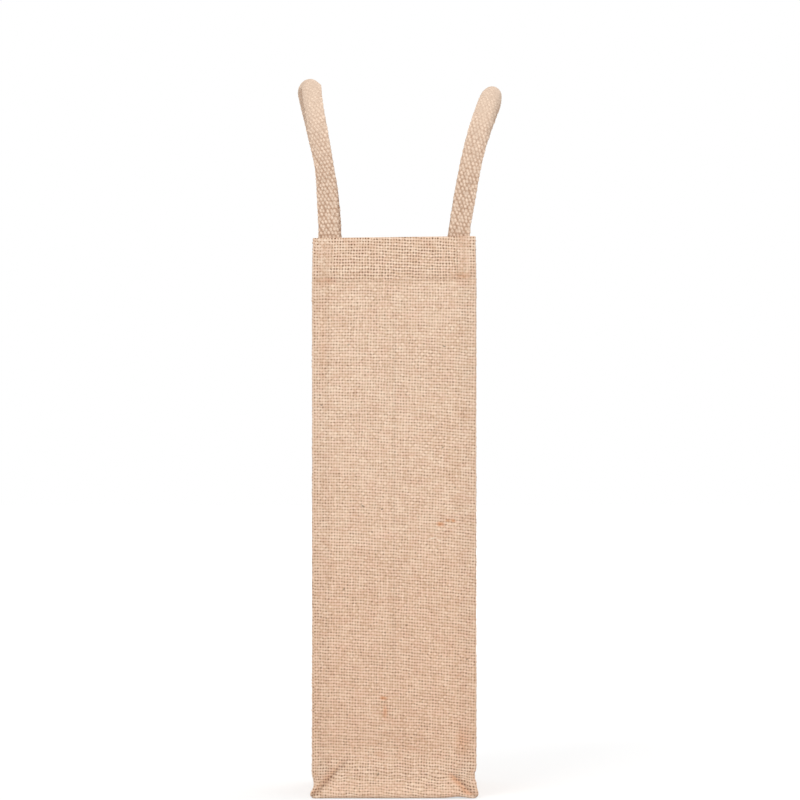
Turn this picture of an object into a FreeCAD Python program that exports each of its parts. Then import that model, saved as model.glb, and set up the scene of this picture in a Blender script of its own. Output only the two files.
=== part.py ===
import FreeCAD
import Part
import math
import os

# Bottle carrier: an upright square bag of woven jute with two webbing handles.
# Millimetres. +Z is up and -Y is the front. The origin is the middle of the base, on its underside.

# Bag
BAG_WIDTH = 105.0
BAG_DEPTH = 100.0
BAG_HEIGHT = 358.0
CLOTH = 1.2
LAYER_GAP = 0.1

# Foot, where the front and back spread a little before they roll under the base
FOOT_HEIGHT = 30.0
FOOT_FLARE = 2.5
FOOT_BEND_RADIUS = 60.0
BASE_EDGE_RADIUS = 8.0

# Turned-in cloth
HEM_DEPTH = 29.5
SEAM_ALLOWANCE = 10.0

# Webbing handles
STRAP_WIDTH = 13.5
STRAP_THICKNESS = 3.0
STRAP_SIDE_GAP = 0.85
STRAP_END_MARGIN = 2.0
STRAP_REACH = 105.5
STRAIGHT_RISE = 24.0
LEAN_RADIUS = 90.0
LEFT_LEAN_DEGREES = 10.5
RIGHT_LEAN_DEGREES = 18.0
FLEX_GAP = 0.3

# Sewing thread
THREAD_RADIUS = 0.35
STITCH_LENGTH = 2.8
STITCH_PITCH = 4.0
HEM_STITCH_RISE = 1.0
HEM_STITCH_MARGIN = 2.5
TACK_EDGE_MARGIN = 4.5
TACK_TOP_MARGIN = 4.0
TACK_FOOT_MARGIN = 2.0
SEAM_STITCH_MARGIN = 0.8
OVERLOCK_WIDTH = 3.0
OVERLOCK_THICKNESS = 0.5

# Places worked out from the sizes above
SIDE = BAG_WIDTH / 2
WALL = BAG_DEPTH / 2
HEM_BOTTOM = BAG_HEIGHT - HEM_DEPTH
DOUBLED = 2 * CLOTH
GUSSET_EDGE = DOUBLED + LAYER_GAP
FLANGE_FACE = GUSSET_EDGE + CLOTH
FLANGE_TOP = HEM_BOTTOM - LAYER_GAP
STRAP_OUTER_FACE = DOUBLED + LAYER_GAP
STRAP_INNER_FACE = STRAP_OUTER_FACE + STRAP_THICKNESS
STRAP_CENTRE = SIDE - DOUBLED - STRAP_SIDE_GAP - STRAP_WIDTH / 2
STRAP_END_BOTTOM = HEM_BOTTOM + STRAP_END_MARGIN
FLEX_HEIGHT = BAG_HEIGHT + STRAP_WIDTH / 2 + FLEX_GAP
HEM_STITCH_HEIGHT = STRAP_END_BOTTOM + HEM_STITCH_RISE
TACK_TOP = BAG_HEIGHT - TACK_TOP_MARGIN
TACK_BOTTOM = HEM_STITCH_HEIGHT + TACK_FOOT_MARGIN
TACK_WIDTH = STRAP_WIDTH - 2 * TACK_EDGE_MARGIN

UP = FreeCAD.Vector(0, 0, 1)
RIGHT = FreeCAD.Vector(1, 0, 0)
BACKWARD = FreeCAD.Vector(0, 1, 0)


def box(low, high):
    """A box between two corners."""
    low, high = FreeCAD.Vector(*low), FreeCAD.Vector(*high)
    size = high - low
    return Part.makeBox(size.x, size.y, size.z, low)


def joined(solids):
    """One solid out of several that share faces."""
    return solids[0].multiFuse(solids[1:]).removeSplitter()


def mirrored(shape, side):
    """The shape on the left as it is (side -1), or its mirror image on the right (side 1)."""
    return shape if side < 0 else shape.mirror(FreeCAD.Vector(), RIGHT)


def line(start, end):
    """A straight edge."""
    return Part.LineSegment(start, end).toShape()


def rounded_path(points, radii):
    """Straight runs through the points, with a tangent arc of the given radius at each inner one."""
    edges = []
    start = points[0]
    for before, corner, after, radius in zip(points, points[1:], points[2:], radii):
        back = (before - corner).normalize()
        on = (after - corner).normalize()
        half = back.getAngle(on) / 2
        reach = radius / math.tan(half)
        middle = (back + on).normalize()
        arc_start = corner + back * reach
        arc_end = corner + on * reach
        arc_top = corner + middle * (radius / math.sin(half) - radius)
        edges.append(line(start, arc_start))
        edges.append(Part.Arc(arc_start, arc_top, arc_end).toShape())
        start = arc_end
    edges.append(line(start, points[-1]))
    return edges


def wrap_path(inset, x, top):
    """The line of the cloth down the front, under the base and up the back, inset from its outer face."""
    slope = math.atan2(FOOT_FLARE, FOOT_HEIGHT)
    bend_drop = inset * math.tan(slope / 2)
    toe_shift = inset * (1 + math.sin(slope)) / math.cos(slope)
    front = [
        FreeCAD.Vector(x, -WALL + inset, top),
        FreeCAD.Vector(x, -WALL + inset, FOOT_HEIGHT - bend_drop),
        FreeCAD.Vector(x, -WALL - FOOT_FLARE + toe_shift, inset),
    ]
    back = [FreeCAD.Vector(point.x, -point.y, point.z) for point in reversed(front)]
    bend = FOOT_BEND_RADIUS + inset
    toe = BASE_EDGE_RADIUS - inset
    return rounded_path(front + back, [bend, toe, toe, bend])


def path_ends(edges):
    """The first and the last point of edges that follow one another."""
    return edges[0].Vertexes[0].Point, edges[-1].Vertexes[-1].Point


def closed_face(edges):
    """The flat face inside edges that close into a ring."""
    return Part.Face(Part.Wire(Part.__sortEdges__(edges)))


def cloth_strip(outer, inner, x_start, x_end, top=BAG_HEIGHT):
    """A layer of cloth along the wrap path, between two insets and two places across the bag."""
    outside = wrap_path(outer, x_start, top)
    inside = wrap_path(inner, x_start, top)
    caps = [line(a, b) for a, b in zip(path_ends(outside), path_ends(inside))]
    return closed_face(outside + inside + caps).extrude(RIGHT * (x_end - x_start))


def main_panel():
    """Front, base and back in one length of cloth, with its edges and top ends turned in."""
    layers = [cloth_strip(0, CLOTH, -SIDE, SIDE)]
    layers.append(cloth_strip(CLOTH, DOUBLED, -SIDE, -SIDE + SEAM_ALLOWANCE))
    layers.append(cloth_strip(CLOTH, DOUBLED, SIDE - SEAM_ALLOWANCE, SIDE))
    layers.append(box((-SIDE, -WALL + CLOTH, HEM_BOTTOM), (SIDE, -WALL + DOUBLED, BAG_HEIGHT)))
    layers.append(box((-SIDE, WALL - DOUBLED, HEM_BOTTOM), (SIDE, WALL - CLOTH, BAG_HEIGHT)))
    return joined(layers)


def gusset():
    """The left side panel: a flat sheet inside the wrap, with seam allowances and its top turned in."""
    outline = wrap_path(GUSSET_EDGE, -SIDE, BAG_HEIGHT)
    sheet = closed_face(outline + [line(*path_ends(outline))]).extrude(RIGHT * CLOTH)
    flange = cloth_strip(GUSSET_EDGE, FLANGE_FACE, -SIDE, -SIDE + SEAM_ALLOWANCE, FLANGE_TOP)
    half = WALL - GUSSET_EDGE
    hem = box((-SIDE + CLOTH, -half, HEM_BOTTOM), (-SIDE + DOUBLED, half, BAG_HEIGHT))
    return joined([sheet, flange, hem])


def gusset_stitching():
    """The seam thread on the inside of the left gusset's allowance, as one run."""
    start = -SIDE + CLOTH + SEAM_STITCH_MARGIN
    end = start + 2 * THREAD_RADIUS
    return cloth_strip(FLANGE_FACE, FLANGE_FACE + THREAD_RADIUS, start, end, FLANGE_TOP)


def gusset_overlock():
    """The edge thread that wraps the raw edge of the left gusset's allowance."""
    edge = -SIDE + SEAM_ALLOWANCE
    crest = edge + OVERLOCK_THICKNESS
    raised = FLANGE_FACE + OVERLOCK_THICKNESS
    face = cloth_strip(FLANGE_FACE, raised, edge - OVERLOCK_WIDTH, crest, FLANGE_TOP)
    rim = cloth_strip(GUSSET_EDGE, FLANGE_FACE, edge, crest, FLANGE_TOP)
    return joined([face, rim])


def stitch(centre, along, outward):
    """One half-round stitch that lies flat on a face."""
    across = along.cross(outward).normalize() * THREAD_RADIUS
    start = centre - along * (STITCH_LENGTH / 2)
    crown = Part.Arc(start - across, start + outward * THREAD_RADIUS, start + across).toShape()
    foot = line(start + across, start - across)
    return Part.Face(Part.Wire([crown, foot])).extrude(along * STITCH_LENGTH)


def stitch_row(start, end, outward):
    """Stitches at the nearest whole pitch that fills the line from start to end."""
    run = end - start
    count = max(1, round(run.Length / STITCH_PITCH))
    along = FreeCAD.Vector(run).normalize()
    return [stitch(start + run * ((i + 0.5) / count), along, outward) for i in range(count)]


def hem_stitching():
    """The row round the mouth, through both layers of the hem."""
    across = SIDE - HEM_STITCH_MARGIN
    deep = WALL - GUSSET_EDGE - HEM_STITCH_MARGIN
    stitches = []
    for way in (-1, 1):
        face = FreeCAD.Vector(0, way * WALL, HEM_STITCH_HEIGHT)
        stitches += stitch_row(face - RIGHT * across, face + RIGHT * across, BACKWARD * way)
        face = FreeCAD.Vector(way * SIDE, 0, HEM_STITCH_HEIGHT)
        stitches += stitch_row(face - BACKWARD * deep, face + BACKWARD * deep, RIGHT * way)
    return Part.makeCompound(stitches)


def tack_box(middle, outward):
    """Four rows of stitches round a strap end, on the upright face through the middle of their top row."""
    half = RIGHT * (TACK_WIDTH / 2)
    corner_room = RIGHT * (2 * THREAD_RADIUS)
    drop = UP * (TACK_BOTTOM - TACK_TOP)
    stitches = []
    for edge in (middle - half, middle + half):
        stitches += stitch_row(edge, edge + drop, outward)
    for row in (middle, middle + drop):
        stitches += stitch_row(row - half + corner_room, row + half - corner_room, outward)
    return stitches


def handle_stitching(side, way):
    """The stitches through one strap end, on the outside of the bag and on the inside of the strap."""
    outside = FreeCAD.Vector(side * STRAP_CENTRE, way * WALL, TACK_TOP)
    inside = FreeCAD.Vector(side * STRAP_CENTRE, way * (WALL - STRAP_INNER_FACE), TACK_TOP)
    return Part.makeCompound(tack_box(outside, BACKWARD * way) + tack_box(inside, BACKWARD * -way))


def handle_end(side, way):
    """The sewn stretch of a strap, flat on the inside of the hem."""
    centre = side * STRAP_CENTRE
    near, far = sorted((way * (WALL - STRAP_OUTER_FACE), way * (WALL - STRAP_INNER_FACE)))
    low = (centre - STRAP_WIDTH / 2, near, STRAP_END_BOTTOM)
    high = (centre + STRAP_WIDTH / 2, far, BAG_HEIGHT)
    return box(low, high)


def lean_outline(lean):
    """The left strap seen from the front: a round foot at the flex line, a rise, a bend and a lean."""
    half = STRAP_WIDTH / 2
    foot = FreeCAD.Vector(-STRAP_CENTRE, 0, FLEX_HEIGHT)
    bend_start = FreeCAD.Vector(-STRAP_CENTRE, 0, BAG_HEIGHT + STRAIGHT_RISE)
    bend_centre = bend_start - RIGHT * LEAN_RADIUS
    run = STRAP_REACH + STRAP_WIDTH - STRAIGHT_RISE - LEAN_RADIUS * lean

    def on_bend(radius, angle):
        return bend_centre + FreeCAD.Vector(math.cos(angle), 0, math.sin(angle)) * radius

    inner, outer = LEAN_RADIUS + half, LEAN_RADIUS - half
    way = FreeCAD.Vector(-math.sin(lean), 0, math.cos(lean))
    inner_end, outer_end = on_bend(inner, lean), on_bend(outer, lean)
    edges = [
        Part.Arc(foot - RIGHT * half, foot - UP * half, foot + RIGHT * half).toShape(),
        line(foot + RIGHT * half, bend_start + RIGHT * half),
        Part.Arc(on_bend(inner, 0), on_bend(inner, lean / 2), inner_end).toShape(),
        line(inner_end, inner_end + way * run),
        line(inner_end + way * run, outer_end + way * run),
        line(outer_end + way * run, outer_end),
        Part.Arc(outer_end, on_bend(outer, lean / 2), on_bend(outer, 0)).toShape(),
        line(bend_start - RIGHT * half, foot - RIGHT * half),
    ]
    return closed_face(edges)


def arch_band(rise):
    """The strap seen from the side: two upright legs under a half-round arch that tops out at the rise."""
    outer = WALL - STRAP_OUTER_FACE
    inner = WALL - STRAP_INNER_FACE
    spring = BAG_HEIGHT + rise - outer

    def arch(radius):
        left = FreeCAD.Vector(0, -radius, spring)
        crown = FreeCAD.Vector(0, 0, spring + radius)
        right = FreeCAD.Vector(0, radius, spring)
        return Part.Arc(left, crown, right).toShape()

    edges = [arch(outer), arch(inner)]
    for way in (-1, 1):
        foot_outer = FreeCAD.Vector(0, way * outer, BAG_HEIGHT)
        foot_inner = FreeCAD.Vector(0, way * inner, BAG_HEIGHT)
        edges.append(line(foot_outer, FreeCAD.Vector(0, way * outer, spring)))
        edges.append(line(foot_inner, FreeCAD.Vector(0, way * inner, spring)))
        edges.append(line(foot_outer, foot_inner))
    return closed_face(edges)


def handle(side, lean_degrees):
    """The free loop of one strap, from the front rim over to the back rim, leaning outward."""
    lean = math.radians(lean_degrees)
    leaning_run = STRAP_REACH - STRAIGHT_RISE - LEAN_RADIUS * lean
    rise = STRAIGHT_RISE + LEAN_RADIUS * math.sin(lean) + leaning_run * math.cos(lean)
    seen_from_front = lean_outline(lean).extrude(BACKWARD * BAG_DEPTH)
    seen_from_front.translate(BACKWARD * -WALL)
    seen_from_side = arch_band(rise).extrude(RIGHT * (2 * BAG_WIDTH))
    seen_from_side.translate(RIGHT * (-2 * BAG_WIDTH))
    return mirrored(seen_from_front.common(seen_from_side), side)


def all_nodes():
    """Every node's name and shape."""
    nodes = {"main_panel": main_panel(), "hem_stitching": hem_stitching()}
    sides = (("left", -1, LEFT_LEAN_DEGREES), ("right", 1, RIGHT_LEAN_DEGREES))
    for name, side, lean in sides:
        nodes[f"{name}_gusset"] = mirrored(gusset(), side)
        nodes[f"{name}_gusset_stitching"] = mirrored(gusset_stitching(), side)
        nodes[f"{name}_gusset_overlock"] = mirrored(gusset_overlock(), side)
        nodes[f"{name}_handle"] = handle(side, lean)
        for place, way in (("front", -1), ("back", 1)):
            nodes[f"{place}_{name}_handle_end"] = handle_end(side, way)
            nodes[f"{place}_{name}_handle_stitching"] = handle_stitching(side, way)
    return nodes


def main():
    os.makedirs("parts", exist_ok=True)
    for name, shape in all_nodes().items():
        shape.exportStep(os.path.join("parts", f"{name}.step"))
        print(name, len(shape.Solids), shape.isValid(), round(shape.Volume, 1))


main()
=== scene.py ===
import math
import bmesh
import bpy
import numpy as np
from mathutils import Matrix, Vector

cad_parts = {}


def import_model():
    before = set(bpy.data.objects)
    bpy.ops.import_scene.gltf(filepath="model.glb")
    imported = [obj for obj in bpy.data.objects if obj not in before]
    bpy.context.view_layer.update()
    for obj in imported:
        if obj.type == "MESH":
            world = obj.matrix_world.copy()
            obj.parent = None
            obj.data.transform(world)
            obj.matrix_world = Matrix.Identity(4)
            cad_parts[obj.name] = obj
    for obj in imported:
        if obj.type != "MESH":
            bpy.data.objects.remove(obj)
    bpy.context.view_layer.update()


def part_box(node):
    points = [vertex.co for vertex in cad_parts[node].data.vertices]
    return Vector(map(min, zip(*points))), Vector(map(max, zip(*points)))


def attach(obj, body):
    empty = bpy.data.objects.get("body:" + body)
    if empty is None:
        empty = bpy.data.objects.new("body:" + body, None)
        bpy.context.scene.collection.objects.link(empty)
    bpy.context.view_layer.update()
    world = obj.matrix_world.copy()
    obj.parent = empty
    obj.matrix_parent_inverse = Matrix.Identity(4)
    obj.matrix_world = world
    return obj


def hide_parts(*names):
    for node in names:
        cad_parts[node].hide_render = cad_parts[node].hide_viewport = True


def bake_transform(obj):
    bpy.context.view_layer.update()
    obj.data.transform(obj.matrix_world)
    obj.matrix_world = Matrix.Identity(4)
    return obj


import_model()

# Places read from the frame, in metres. +Z is up, -Y is the front.
panel_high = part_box("main_panel")[1]
end_low, end_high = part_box("front_left_handle_end")
stitch_low, stitch_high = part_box("hem_stitching")
left_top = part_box("left_handle")[1].z
right_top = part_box("right_handle")[1].z
SIDE = panel_high.x
RIM = panel_high.z
STRAP_CENTRE = -(end_low.x + end_high.x) / 2
STRAP_WIDTH = end_high.x - end_low.x
STRAP_LINE = -(end_low.y + end_high.y) / 2
STRAP_END = end_low.z

# The hem is sewn a little lower here than in the frame
STITCH_DROP = 0.0012
STITCH_LINE = (stitch_low.z + stitch_high.z) / 2 - STITCH_DROP

# Cloth: WALL is half the depth of the bag, CLOTH one layer's thickness and GRID the spacing of mesh points
WALL = 0.050
TOE_RADIUS = 0.0032
CLOTH = 0.0012
LAYER_GAP = 0.0001
LAYER_STEP = 0.0006
HEM_DEPTH = 0.0295
SEAM_ALLOWANCE = 0.010
MARGIN = SIDE - SEAM_ALLOWANCE
GUSSET_INSET = 2 * CLOTH + LAYER_GAP
FLANGE_FACE = GUSSET_INSET + CLOTH
FLANGE_TOP = RIM - HEM_DEPTH
GRID = 0.0016
WARP_PITCH = 0.001745
WEFT_PITCH = 0.00193


def smooth(value, start, end):
    """0 before start, 1 after end and an S-curve between them."""
    t = np.clip((value - start) / (end - start), 0, 1)
    return t * t * (3 - 2 * t)


def fade(value, start, end):
    """1 before start and 0 after end."""
    return 1 - smooth(value, start, end)


def bell(value, centre, width):
    """A hump of height 1."""
    return np.exp(-(((value - centre) / width) ** 2))


def dome(value, half, power=2):
    """1 in the middle of a span and 0 at its two ends."""
    return np.clip(1 - (value / half) ** power, 0, 1)


def pulse(turns):
    """0 to 1 and back in every turn."""
    return 0.5 - 0.5 * np.cos(2 * math.pi * turns)


def ripples(a, b, seed, count=7, shortest=0.045, longest=0.14):
    """Slow waves of a limp panel, about 1 high, in directions and lengths drawn from the seed."""
    rng = np.random.default_rng(seed)
    total = np.zeros_like(a)
    for _ in range(count):
        turn = rng.uniform(0, math.pi)
        phase = rng.uniform(0, 2 * math.pi)
        number = 2 * math.pi / rng.uniform(shortest, longest)
        total += np.sin((a * math.cos(turn) + b * math.sin(turn)) * number + phase)
    return total / math.sqrt(count)


# How the sewn bag departs from a square box. A pair of places is where a change starts and where it ends.

# Foot of the front and back; BROAD is the power of a dome with a wide top
FOOT_TOP = 0.026
FOOT_FLARE = 0.0050
FOOT_LEAST = 1e-4
FOLD_SLOPE = 1.08
FOLD_DEPTH = 0.0006
FOLD_WIDTH = 0.0016
FOLD_ACROSS = (0.032, 0.040)
FOLD_UP = (0.020, 0.028)
WAIST_DEPTH = 0.0018
WAIST_HEIGHT = 0.030
WAIST_WIDTH = 0.011
BROAD = 4


def fold_gap(x, z):
    """Distance above the diagonal fold that runs up from each lower corner."""
    return (z - (SIDE - np.abs(x)) * FOLD_SLOPE) / math.hypot(1, FOLD_SLOPE)


def foot_relief(x, z):
    """The edge of the base spreads outward in a trapezoid between two corner folds."""
    top = np.clip((SIDE - np.abs(x)) * FOLD_SLOPE, FOOT_LEAST, FOOT_TOP)
    flare = FOOT_FLARE * np.clip(1 - z / top, 0, 1)
    waist = WAIST_DEPTH * bell(z, WAIST_HEIGHT, WAIST_WIDTH) * dome(x, SIDE, BROAD)
    corner = smooth(np.abs(x), *FOLD_ACROSS) * fade(z, *FOLD_UP)
    return flare - waist - FOLD_DEPTH * bell(fold_gap(x, z), 0, FOLD_WIDTH) * corner


# Hem, its furrow and the strips where the straps are sewn on
FURROW_DEPTH = 0.0010
FURROW_WIDTH = 0.0022
FURROW_LEAST = 0.3
FURROW_ENDS = (0.024, 0.042)
HEM_STEP = 0.0004
HEM_STEP_RISE = (STITCH_LINE, STITCH_LINE + 0.004)
HEM_RISE = (STITCH_LINE - 0.001, STITCH_LINE + 0.003)
TACK_LINE = 0.0450
TACK_EDGE = (0.0024, 0.0036)
TACK_RISE = (STITCH_LINE - 0.001, STITCH_LINE + 0.002)
TACK_DENT = 0.0005


def hem_furrow(x, z):
    """The hem's stitching draws the cloth in, most of all towards the ends of the row."""
    pull = FURROW_LEAST + (1 - FURROW_LEAST) * smooth(np.abs(x), *FURROW_ENDS)
    return FURROW_DEPTH * pull * bell(z, STITCH_LINE, FURROW_WIDTH)


def tack_band(x, z):
    """1 over the two strips where a strap is sewn on."""
    return fade(np.abs(np.abs(x) - TACK_LINE), *TACK_EDGE) * smooth(z, *TACK_RISE)


# Puckers along the seams
PUCKER = 0.00040
PUCKER_WIDTH = 0.006
PUCKER_START = (0.0015, 0.0055)
PUCKER_WAVES = {"count": 5, "shortest": 0.007, "longest": 0.022}
PUCKER_SEED = 20
EDGES_APART = 40


def puckers(across, z, edge, seed):
    """Short waves that the seam stitches draw into the cloth along both edges of a panel."""
    inside = edge - np.abs(across)
    near = np.exp(-inside / PUCKER_WIDTH) * smooth(inside, *PUCKER_START)
    waves = ripples(EDGES_APART * np.sign(across), z, seed + PUCKER_SEED, **PUCKER_WAVES)
    return PUCKER * near * waves


# Front and back
BELLY = 0.0014
BELLY_POWER = 0.7
RIPPLE = 0.00035
RIPPLE_AT_EDGE = 0.25
RIM_BOW = 0.0016
RIM_BOW_RISE = (0.24, RIM)
MARGIN_STEP = 0.00035
MARGIN_RISE = (MARGIN - 0.001, MARGIN + 0.001)
GROOVE_DEPTH = 0.0003
GROOVE_LINE = MARGIN - 0.0012
GROOVE_WIDTH = 0.0009
CREASE_DEPTH = 0.0005
CREASE_WIDTH = 0.0013
CREASE_LOW = (0.06, 0.09)
CREASE_HIGH = (0.30, 0.325)


def wall_relief(x, z, seed, slack):
    """How far the front or back stands out from a flat wall."""
    across = np.abs(x)
    span = dome(x, SIDE)
    rise = np.clip(z / RIM, 0, 1)
    out = BELLY * span * np.sin(math.pi * rise) ** BELLY_POWER
    out += slack * RIPPLE * ripples(x, z, seed) * (RIPPLE_AT_EDGE + (1 - RIPPLE_AT_EDGE) * span)
    out += puckers(x, z, SIDE, seed)
    out += RIM_BOW * span * smooth(z, *RIM_BOW_RISE)
    out += HEM_STEP * smooth(z, *HEM_STEP_RISE)
    out -= hem_furrow(x, z) + TACK_DENT * tack_band(x, z)
    out += MARGIN_STEP * smooth(across, *MARGIN_RISE)
    out -= GROOVE_DEPTH * bell(across, GROOVE_LINE, GROOVE_WIDTH)
    crease = np.exp(-across / CREASE_WIDTH) * smooth(z, *CREASE_LOW) * fade(z, *CREASE_HIGH)
    return out - CREASE_DEPTH * crease + foot_relief(x, z)


# Side panels
GUSSET_SAG = 0.0050
SAG_START = 0.08
SAG_SPAN = 0.80
SAG_POWER = 0.8
GUSSET_FOLD = 0.0042
GUSSET_FOLD_WIDTH = 0.009
GUSSET_FOLD_RISE = (0.03, 0.10)
GUSSET_RIDGE = 0.0011
RIDGE_WIDTH = 0.0025
RIDGE_LOW = (0.004, 0.016)
RIDGE_HIGH = (0.036, 0.054)
GUSSET_SLACK = 2.2


def gusset_relief(y, z, seed):
    """How far a side panel stands out: it sags inward towards a soft fold down its middle."""
    span = dome(y, WALL)
    rise = np.clip(z / RIM, 0, 1)
    sag = GUSSET_SAG * span * np.sin(math.pi * (SAG_START + SAG_SPAN * rise)) ** SAG_POWER
    fold = GUSSET_FOLD * np.exp(-np.abs(y) / GUSSET_FOLD_WIDTH) * smooth(z, *GUSSET_FOLD_RISE)
    furrow = FURROW_DEPTH * span * bell(z, STITCH_LINE, FURROW_WIDTH)
    corner_gap = (z - WALL + np.abs(y)) / math.sqrt(2)
    ridge = GUSSET_RIDGE * np.exp(-np.abs(corner_gap) / RIDGE_WIDTH)
    ridge *= smooth(z, *RIDGE_LOW) * fade(z, *RIDGE_HIGH)
    out = GUSSET_SLACK * RIPPLE * ripples(y, z, seed) * span + puckers(y, z, WALL, seed)
    return out + ridge - sag - fold - furrow


# The whole bag; a notch is its height and its width
FRONT_SEED = 3
BACK_SEED = 4
LEFT_SEED = 5
RIGHT_SEED = 6
FRONT_SLACK = 1.0
BACK_SLACK = 2.2
ABOVE_RIM = (RIM + 0.004, RIM + 0.030)
WALL_BAND = (0.030, 0.041)
GUSSET_BAND = (0.040, 0.0495)
MOUTH_NARROWING = 0.011
MOUTH_RISE = (STITCH_LINE, RIM)
EAR = 0.0012
EAR_HEIGHT = 0.003
EAR_WIDTH = 0.0035
EAR_ACROSS = (0.045, SIDE)
EAR_BAND = (0.036, 0.047)
NOTCH_DEPTH = 0.0014
LEFT_NOTCH = (0.0085, 0.0045)
RIGHT_NOTCH = (0.0145, 0.0030)
TILT_HEIGHTS = (0.20, STITCH_LINE, RIM)
TILTS = (0, 0.022, 0.012)
TOE_LIFT = 0.0002
TOE_BUMP = 0.0009
TOE_BUMP_PLACE = 0.041
TOE_BUMP_WIDTH = 0.006
TOE_BAND = (0.030, 0.042)
TOE_RISE = (0.004, 0.02)


def soften(points):
    """Moves points of the square bag to where the sewn bag has them, every layer of a wall alike."""
    x, y, z = points.T.copy()
    held = np.minimum(z, RIM)
    on_bag = fade(z, *ABOVE_RIM)
    front = smooth(-y, *WALL_BAND) * on_bag * wall_relief(x, held, FRONT_SEED, FRONT_SLACK)
    back = smooth(y, *WALL_BAND) * on_bag * wall_relief(x, held, BACK_SEED, BACK_SLACK)
    left = smooth(-x, *GUSSET_BAND) * on_bag * gusset_relief(y, held, LEFT_SEED)
    right = smooth(x, *GUSSET_BAND) * on_bag * gusset_relief(y, held, RIGHT_SEED)
    new_x = (x - left + right) * (1 - MOUTH_NARROWING * smooth(held, *MOUTH_RISE) * on_bag)
    notch = np.where(x < 0, bell(z, *LEFT_NOTCH), bell(z, *RIGHT_NOTCH))
    ear = EAR * bell(z, EAR_HEIGHT, EAR_WIDTH) - NOTCH_DEPTH * notch
    new_x += np.sign(x) * ear * smooth(np.abs(x), *EAR_ACROSS) * smooth(np.abs(y), *EAR_BAND)
    new_z = z + x * np.interp(held, TILT_HEIGHTS, TILTS) * on_bag
    lift = TOE_LIFT * dome(x, SIDE, BROAD) + TOE_BUMP * bell(x, TOE_BUMP_PLACE, TOE_BUMP_WIDTH)
    new_z += lift * smooth(np.abs(y), *TOE_BAND) * fade(z, *TOE_RISE)
    return np.stack([new_x, y - front + back, new_z], 1)


# Meshes

WEAVE_MAP = "weave"
WELD = 1e-7
EDGE_POINTS = 5
EDGE_ANGLES = np.pi * (np.arange(EDGE_POINTS) + 1) / (EDGE_POINTS + 1)


def new_object(name, vertices, faces):
    mesh = bpy.data.meshes.new(name)
    mesh.from_pydata(vertices.tolist(), [], faces.tolist())
    obj = bpy.data.objects.new(name, mesh)
    bpy.context.scene.collection.objects.link(obj)
    mesh.shade_smooth()
    return obj


def set_uv(obj, corners):
    """corners holds one (u, v) for each corner of each face, in face order."""
    layer = obj.data.uv_layers.new(name=WEAVE_MAP)
    layer.data.foreach_set("uv", np.asarray(corners, np.float32).ravel())


def paint(obj, **fields):
    """Stores named numbers on the object's points."""
    for label, values in fields.items():
        layer = obj.data.attributes.new(label, "FLOAT", "POINT")
        layer.data.foreach_set("value", np.asarray(values, np.float32).ravel())


def ring_faces(stations, ring, first=0):
    """Quads between rings of points that follow one another."""
    i, k = np.meshgrid(np.arange(stations - 1), np.arange(ring), indexing="ij")
    a = i * ring + k
    b = i * ring + (k + 1) % ring
    return np.stack([a, b, b + ring, a + ring], -1).reshape(-1, 4) + first


def face_corners(u, v):
    """The (u, v) at the corners of ring_faces; each ring's first place comes again as its last."""
    uv = np.stack(np.broadcast_arrays(u, v), -1)
    return np.stack([uv[:-1, :-1], uv[:-1, 1:], uv[1:, 1:], uv[1:, :-1]], 2).reshape(-1, 2)


def unit(vectors):
    return vectors / np.linalg.norm(vectors, axis=1)[:, None]


def tidy(obj):
    """Welds points that lie on one another and turns all faces outward."""
    work = bmesh.new()
    work.from_mesh(obj.data)
    bmesh.ops.remove_doubles(work, verts=work.verts, dist=WELD)
    bmesh.ops.dissolve_degenerate(work, edges=work.edges, dist=WELD)
    bmesh.ops.recalc_face_normals(work, faces=work.faces)
    work.to_mesh(obj.data)
    work.free()


def join(main, *others):
    """Joins objects into the first one."""
    with bpy.context.temp_override(
        active_object=main, object=main, selected_objects=[main, *others],
        selected_editable_objects=[main, *others],
    ):
        bpy.ops.object.join()


# Sheets of cloth

WEFT_LOOP = 0.0007
LOOP_SEED = 8
LOOP_LEAST = 0.2


def shell(name, along, across, thick, squeeze, place, loop=0.0):
    """A closed sheet: rings run out over its outer face, round one edge and back over its inner face.

    along is the length at each station, across and thick are (stations, columns), squeeze draws each
    ring together to round the sheet's ends, and place(station, across, inset) gives the points. The
    weft turns stand out of both edges by the height of a loop.
    """
    rows = (along / WEFT_PITCH).astype(int)
    own = np.random.default_rng(LOOP_SEED).uniform(LOOP_LEAST, 1.0, rows.max() + 1)[rows]
    turns = loop * (own * pulse(along / WEFT_PITCH))[:, None]
    right_radius = thick[:, -1:] / 2
    left_radius = thick[:, :1] / 2
    right = across[:, -1:] + (right_radius + turns) * np.sin(EDGE_ANGLES)
    left = across[:, :1] - (left_radius + turns) * np.sin(EDGE_ANGLES)
    ring_across = np.hstack([across, right, across[:, ::-1], left])
    inset = np.hstack([
        np.zeros_like(across),
        right_radius * (1 - np.cos(EDGE_ANGLES)),
        thick[:, ::-1],
        left_radius * (1 + np.cos(EDGE_ANGLES)),
    ])
    middle = np.hstack([
        thick / 2,
        np.repeat(right_radius, EDGE_POINTS, 1),
        thick[:, ::-1] / 2,
        np.repeat(left_radius, EDGE_POINTS, 1),
    ])
    inset = middle + (inset - middle) * squeeze[:, None]
    stations, ring = ring_across.shape
    index = np.repeat(np.arange(stations), ring)
    points = place(index, ring_across.ravel(), inset.ravel())
    obj = new_object(name, soften(points), ring_faces(stations, ring))
    turn = thick.max() * math.pi / 2
    inner_u = 2 * across[:, -1:] + turn - across[:, ::-1]
    u = np.hstack([
        across,
        across[:, -1:] + turn * (EDGE_ANGLES / math.pi),
        inner_u,
        inner_u[:, -1:] + turn * (EDGE_ANGLES / math.pi),
        inner_u[:, -1:] + turn,
    ])
    set_uv(obj, face_corners(u, along[:, None]))
    return obj, points


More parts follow.
